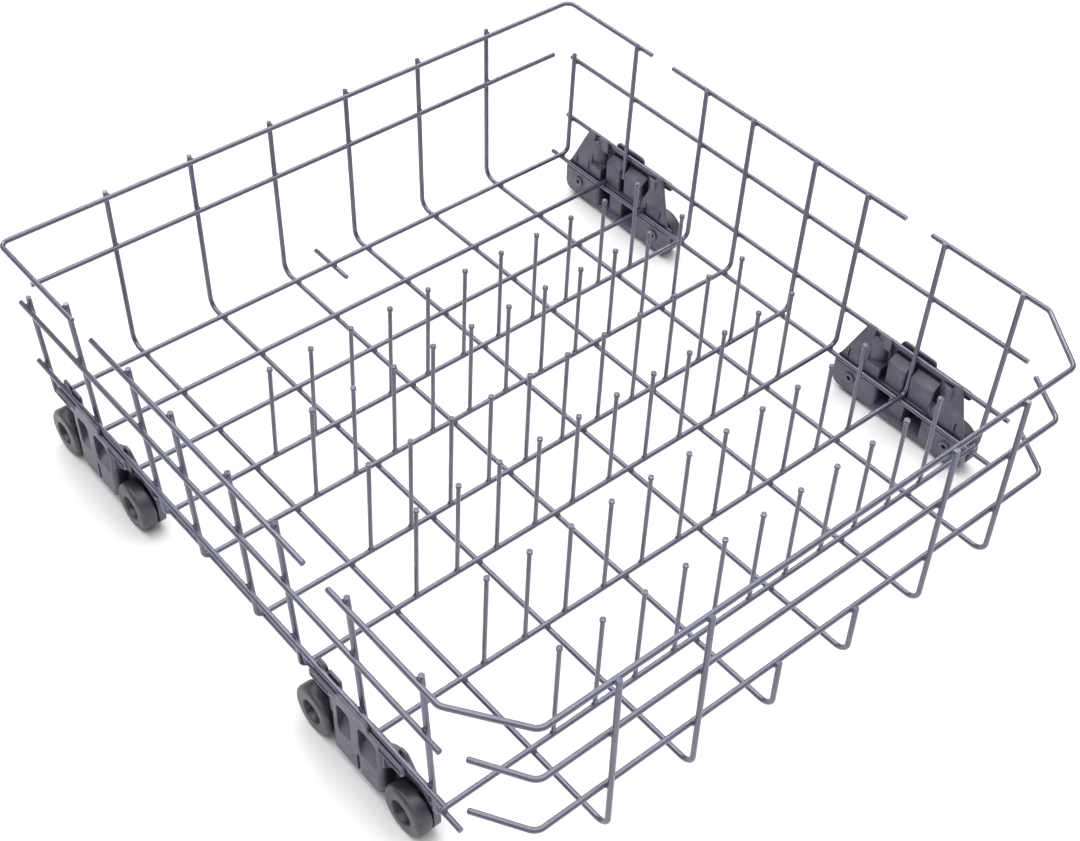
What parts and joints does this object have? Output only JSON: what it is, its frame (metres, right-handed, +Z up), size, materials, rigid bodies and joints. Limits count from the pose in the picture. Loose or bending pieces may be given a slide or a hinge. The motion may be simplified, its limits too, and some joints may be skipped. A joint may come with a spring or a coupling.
{
  "type": "dishwasher basket",
  "caption": "Lower dish rack of a dishwasher: coated wire basket with rows of upright tines, open top rail and moulded carriages with free-turning wheels.",
  "frame": {"origin": "on the floor under the wheels, at the middle of the rack's width and depth", "axes": "+X to the right seen from the front, the front faces -Y, +Z up"},
  "size_m": [0.5326, 0.575, 0.1786],
  "materials": {
    "wire_coating": "satin blue-grey nylon coating on steel wire",
    "tine_coating": "satin blue-grey nylon coating with beads at the tips",
    "carriage_plastic": "fine matte dark grey moulded plastic",
    "wheel_plastic": "matte dark grey moulded plastic",
    "axle_plastic": "smooth dark grey moulded plastic"
  },
  "bodies": {
    "basket": {"cross_hoop_1": "wire_coating", "cross_hoop_2": "wire_coating", "cross_hoop_3": "wire_coating", "cross_hoop_4": "wire_coating", "cross_hoop_5": "wire_coating", "cross_hoop_6": "wire_coating", "cross_hoop_7": "wire_coating", "floor_wire_1": "wire_coating", "floor_wire_2": "wire_coating", "long_hoop_1": "wire_coating", "long_hoop_2": "wire_coating", "long_hoop_3": "wire_coating", "long_hoop_4": "wire_coating", "long_hoop_5": "wire_coating", "long_hoop_6": "wire_coating", "rail_back": "wire_coating", "rail_left": "wire_coating", "rail_right": "wire_coating", "rail_front": "wire_coating", "side_mid_wire_left": "wire_coating", "side_mid_wire_right": "wire_coating", "side_low_wire_left": "wire_coating", "side_low_wire_right": "wire_coating", "edge_wire_left": "wire_coating", "edge_wire_right": "wire_coating", "side_picket_left": "wire_coating", "side_picket_right": "wire_coating", "back_mid_wire": "wire_coating", "front_mid_wire": "wire_coating", "front_low_wire": "wire_coating", "back_stub_wire": "wire_coating", "tine_row_1": "tine_coating", "tine_row_2": "tine_coating", "tine_row_3": "tine_coating", "tine_row_4": "tine_coating", "tine_row_5": "tine_coating", "tine_row_6": "tine_coating", "carriage_rear_left": "carriage_plastic", "carriage_rear_right": "carriage_plastic", "carriage_front_left": "carriage_plastic", "carriage_front_right": "carriage_plastic", "axle_rear_1_left": "axle_plastic", "axle_rear_2_left": "axle_plastic", "axle_rear_1_right": "axle_plastic", "axle_rear_2_right": "axle_plastic", "axle_front_1_left": "axle_plastic", "axle_front_2_left": "axle_plastic", "axle_front_1_right": "axle_plastic", "axle_front_2_right": "axle_plastic"},
    "wheel_rear_1_left": {"wheel_rear_1_left": "wheel_plastic"},
    "wheel_rear_2_left": {"wheel_rear_2_left": "wheel_plastic"},
    "wheel_rear_1_right": {"wheel_rear_1_right": "wheel_plastic"},
    "wheel_rear_2_right": {"wheel_rear_2_right": "wheel_plastic"},
    "wheel_front_1_left": {"wheel_front_1_left": "wheel_plastic"},
    "wheel_front_2_left": {"wheel_front_2_left": "wheel_plastic"},
    "wheel_front_1_right": {"wheel_front_1_right": "wheel_plastic"},
    "wheel_front_2_right": {"wheel_front_2_right": "wheel_plastic"}
  },
  "joints": [
    {"name": "wheel_rear_1_left_spin", "type": "hinge", "parent": "basket", "child": "wheel_rear_1_left", "pos_m": [-0.2598, 0.235, 0.019], "axis": [1, 0, 0], "continuous": true},
    {"name": "wheel_rear_2_left_spin", "type": "hinge", "parent": "basket", "child": "wheel_rear_2_left", "pos_m": [-0.2598, 0.137, 0.019], "axis": [1, 0, 0], "continuous": true},
    {"name": "wheel_rear_1_right_spin", "type": "hinge", "parent": "basket", "child": "wheel_rear_1_right", "pos_m": [0.2598, 0.235, 0.019], "axis": [1, 0, 0], "continuous": true},
    {"name": "wheel_rear_2_right_spin", "type": "hinge", "parent": "basket", "child": "wheel_rear_2_right", "pos_m": [0.2598, 0.137, 0.019], "axis": [1, 0, 0], "continuous": true},
    {"name": "wheel_front_1_left_spin", "type": "hinge", "parent": "basket", "child": "wheel_front_1_left", "pos_m": [-0.2598, -0.0942, 0.019], "axis": [1, 0, 0], "continuous": true},
    {"name": "wheel_front_2_left_spin", "type": "hinge", "parent": "basket", "child": "wheel_front_2_left", "pos_m": [-0.2598, -0.1922, 0.019], "axis": [1, 0, 0], "continuous": true},
    {"name": "wheel_front_1_right_spin", "type": "hinge", "parent": "basket", "child": "wheel_front_1_right", "pos_m": [0.2598, -0.0942, 0.019], "axis": [1, 0, 0], "continuous": true},
    {"name": "wheel_front_2_right_spin", "type": "hinge", "parent": "basket", "child": "wheel_front_2_right", "pos_m": [0.2598, -0.1922, 0.019], "axis": [1, 0, 0], "continuous": true}
  ]
}
